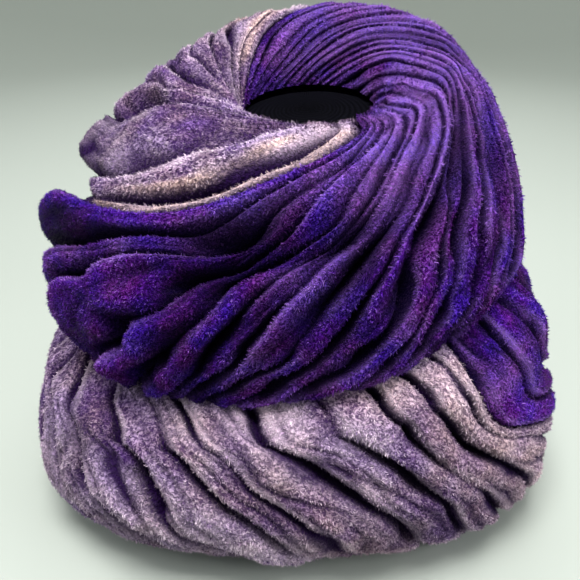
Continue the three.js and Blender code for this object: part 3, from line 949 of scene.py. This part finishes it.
def velvet(name, deep, body, shift, tips, warm, frost_sheen_strength, grain):
    """One colour of velvet, its masks read from the mesh."""
    material, tree, shader = new_material(name)
    group = tree.nodes.new("ShaderNodeGroup")
    group.node_tree = VELVET
    place = tree.nodes.new("ShaderNodeTexCoord")
    tree.links.new(place.outputs["Object"], group.inputs["Vector"])
    for mask in ("Level", "Warm", "Tip", "Frost_sheen"):
        reader = tree.nodes.new("ShaderNodeAttribute")
        reader.attribute_name = mask.lower()
        tree.links.new(reader.outputs["Fac"], group.inputs[mask])
    # The shade colour here is painted shade and the tip colour painted sheen; body, shift and warm are the
    # cloth's own colours.
    velvet_colours = {"Painted Shade": deep, "Body": body, "Shift": shift, "Tip Sheen": tips, "Warm Dye": warm}
    for socket, value in velvet_colours.items():
        group.inputs[socket].default_value = (*value, 1)
    group.inputs["Frost Sheen Strength"].default_value = frost_sheen_strength
    group.inputs["Grain"].default_value = grain
    bump_from(tree, group.outputs["Height"], shader, GRAIN_BUMP, GRAIN_DEPTH_M)
    tree.links.new(group.outputs["Color"], shader.inputs["Base Color"])
    shader.inputs["Roughness"].default_value = VELVET_ROUGHNESS
    shader.inputs["Specular IOR Level"].default_value = VELVET_SPECULAR
    shader.inputs["Sheen Weight"].default_value = SHEEN_WEIGHT
    shader.inputs["Sheen Roughness"].default_value = SHEEN_ROUGHNESS
    shader.inputs["Sheen Tint"].default_value = (*tips, 1)
    return material


# Per velvet: the darkest colour is painted shade, the palest is painted sheen on the tips, and the strength
# sets how much sheen.
PURPLE = velvet("Purple velvet", deep=linear(6, 0, 30), body=linear(78, 8, 214), shift=linear(128, 14, 164),
                tips=linear(200, 150, 255), warm=linear(150, 60, 150), frost_sheen_strength=1.0, grain=1150)
LAVENDER = velvet("Lavender velvet", deep=linear(34, 12, 58), body=linear(154, 108, 200),
                  shift=linear(182, 140, 172), tips=linear(250, 228, 246), warm=linear(250, 212, 176),
                  frost_sheen_strength=1.5, grain=820)
print("finishes", PURPLE.name, LAVENDER.name)

# %% [markdown]
# ## The knit finish
#
# Knitted cloth is rows of small loops: wales run up the dome and courses run round it. Real loops could be
# modelled as a bent thread, but nobody can see one down the hole. Two sine waves over the map, one slanted
# by the other, give the V of each stitch as a bump, and painted shade darkens the dips between the loops.

# %% Knit finish
WALES, COURSES = 150, 110
STITCH_SLANT = 1.2
KNIT_ROUGHNESS, KNIT_SPECULAR = 0.8, 0.02
KNIT_BUMP, KNIT_DEPTH_M = 0.9, 0.0008


def knit_material():
    """Fine black knit, drawn on the map that is there for baking."""
    material, tree, shader = new_material("Black knit")
    place = tree.nodes.new("ShaderNodeUVMap")
    place.uv_map = "OFBake"
    parts = tree.nodes.new("ShaderNodeSeparateXYZ")
    tree.links.new(place.outputs["UV"], parts.inputs["Vector"])
    wale = maths(tree, "SINE", maths(tree, "MULTIPLY", parts.outputs["X"], WALES * math.pi))
    wale = maths(tree, "ABSOLUTE", wale)
    slant = maths(tree, "MULTIPLY", wale, STITCH_SLANT)
    climb = maths(tree, "MULTIPLY", parts.outputs["Y"], COURSES * math.pi)
    course = maths(tree, "ABSOLUTE", maths(tree, "SINE", maths(tree, "ADD", slant, climb)))
    height = maths(tree, "MULTIPLY", wale, course)
    # Painted shade: darker in the dips between loops, a little paler on the raised ones.
    colour = mix_colours(tree, height, (*linear(0, 0, 1), 1), (*linear(13, 13, 21), 1))
    bump_from(tree, height, shader, KNIT_BUMP, KNIT_DEPTH_M)
    tree.links.new(colour, shader.inputs["Base Color"])
    shader.inputs["Roughness"].default_value = KNIT_ROUGHNESS
    shader.inputs["Specular IOR Level"].default_value = KNIT_SPECULAR
    return material


KNIT = knit_material()
print("finish", KNIT.name)

# %% [markdown]
# ## Dressing and joining the frame
#
# The hat is one soft body with nothing that moves, so every piece rides on the root and stands for its CAD
# node. Cloth and pile could be one mesh; apart, the pile can be left off where it isn't wanted. The cloth
# is padded, about two thirds full of wadding, which is a guess from how it sits.

# %% Dress
FINISHES = {"velvet_purple": PURPLE, "velvet_lavender": LAVENDER}
for name, panel in PANELS.items():
    cloth, pile = cloth_objects[name], pile_objects[name]
    for piece in (cloth, pile):
        piece.data.materials.append(FINISHES[panel["slot"]])
        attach(piece, "root")
        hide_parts(name)
knit.data.materials.append(KNIT)
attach(knit, "root")
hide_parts("inner_cap")
print("dressed", len(cloth_objects) + len(pile_objects) + 1, "pieces")

# %% [markdown]
# ## The floor
#
# The hat stands on a large sheet of pale paper that bends up into a wall all round. A plain plane would
# show its edge and a horizon from the side; the round bend shows neither.

# %% Floor
FLAT_M, BEND_M, WALL_M = 1.1, 1.0, 3.4
FLOOR_DROP_M = 0.0005
turns = np.linspace(0, 2 * math.pi, 97)
bend = np.radians(np.linspace(0, 90, 25))
reach = np.concatenate([[0.001], FLAT_M + BEND_M * np.sin(bend), [FLAT_M + BEND_M]])
rise = np.concatenate([[0], BEND_M * (1 - np.cos(bend)), [WALL_M]])
turns = turns[:, None]
sweep = np.stack([reach * np.cos(turns), reach * np.sin(turns), rise + 0 * turns], -1)
floor = mesh_object("floor", sweep.reshape(-1, 3), grid_faces(len(turns), len(reach)))
floor.location.z = -FLOOR_DROP_M
paper, _, paper_shader = new_material("Pale paper")
paper_shader.inputs["Base Color"].default_value = (*linear(154, 160, 154), 1)
paper_shader.inputs["Roughness"].default_value = 0.6
paper_shader.inputs["Specular IOR Level"].default_value = 0.2
floor.data.materials.append(paper)
print("floor, m across", round(2 * float(reach.max()), 2))

# %% [markdown]
# ## The light
#
# A light box glows all round, and most of the light falls from above. A wide lamp overhead and a pale world
# give that. The key lamp near the camera shows the pile, two weaker ones open the shadows at the sides, and
# one behind edges the crest. A sun would be quicker, but casts harder shadows. The lamps are hidden from
# the camera.

# %% Lights
world = bpy.data.worlds.new("Light box")
bpy.context.scene.world = world
world.use_nodes = True
world.node_tree.nodes["Background"].inputs["Color"].default_value = (*linear(222, 228, 224), 1)
world.node_tree.nodes["Background"].inputs["Strength"].default_value = 0.3


def lamp(name, place, aim, size, watts, colour):
    """A rectangular lamp at a place, turned to shine at the aim."""
    light = bpy.data.lights.new(name, "AREA")
    light.shape = "RECTANGLE"
    light.size, light.size_y = size
    light.energy = watts
    light.color = colour
    obj = bpy.data.objects.new(name, light)
    obj.location = place
    direction = np.array(aim, float) - np.array(place, float)
    yaw = math.atan2(direction[0], direction[1])
    tilt = math.atan2(math.hypot(direction[0], direction[1]), -direction[2])
    obj.rotation_euler = (tilt, 0, -yaw)
    obj.visible_camera = False
    bpy.context.scene.collection.objects.link(obj)
    return obj


lamps = [
    lamp("overhead", (0, 0.1, 2.2), (0, 0.1, 0), (2.8, 2.8), 38, (0.98, 1.0, 0.97)),
    lamp("key", (-0.05, -0.22, 0.98), (0, 0.0, 0.1), (0.4, 0.3), 15, (1.0, 0.99, 0.97)),
    lamp("left", (-0.9, -0.1, 0.5), (0, 0, 0.1), (0.5, 0.7), 4, (0.96, 0.98, 1.0)),
    lamp("right", (0.8, -0.4, 0.5), (0, 0, 0.08), (0.5, 0.6), 6, (0.97, 0.98, 1.0)),
    lamp("back", (0.1, 0.8, 0.7), (0, 0, 0.15), (0.8, 0.4), 4, (1.0, 1.0, 1.0)),
]
print("lamps", len(lamps), "watts", sum(obj.data.energy for obj in lamps))

# %% [markdown]
# ## The camera
#
# The photograph looks at the hat from the front and about 31 degrees above, close enough that the near roll
# looks larger. The camera could be fitted by a solver; here it was turned and moved until crest, hole and
# hem stood where the photograph has them.

# %% Camera
camera_data = bpy.data.cameras.new("camera")
camera_data.lens = 37.24
camera_data.sensor_width = 36
camera_data.clip_start = 0.01
camera = bpy.data.objects.new("camera", camera_data)
camera.location = (-0.004 + SHIFT[0], -0.266 + SHIFT[1], 0.250)
camera.rotation_euler = (math.radians(59), 0, 0)
bpy.context.scene.collection.objects.link(camera)
bpy.context.scene.camera = camera
bpy.context.scene.view_settings.view_transform = "Standard"
print("camera", [round(value, 3) for value in camera.location])
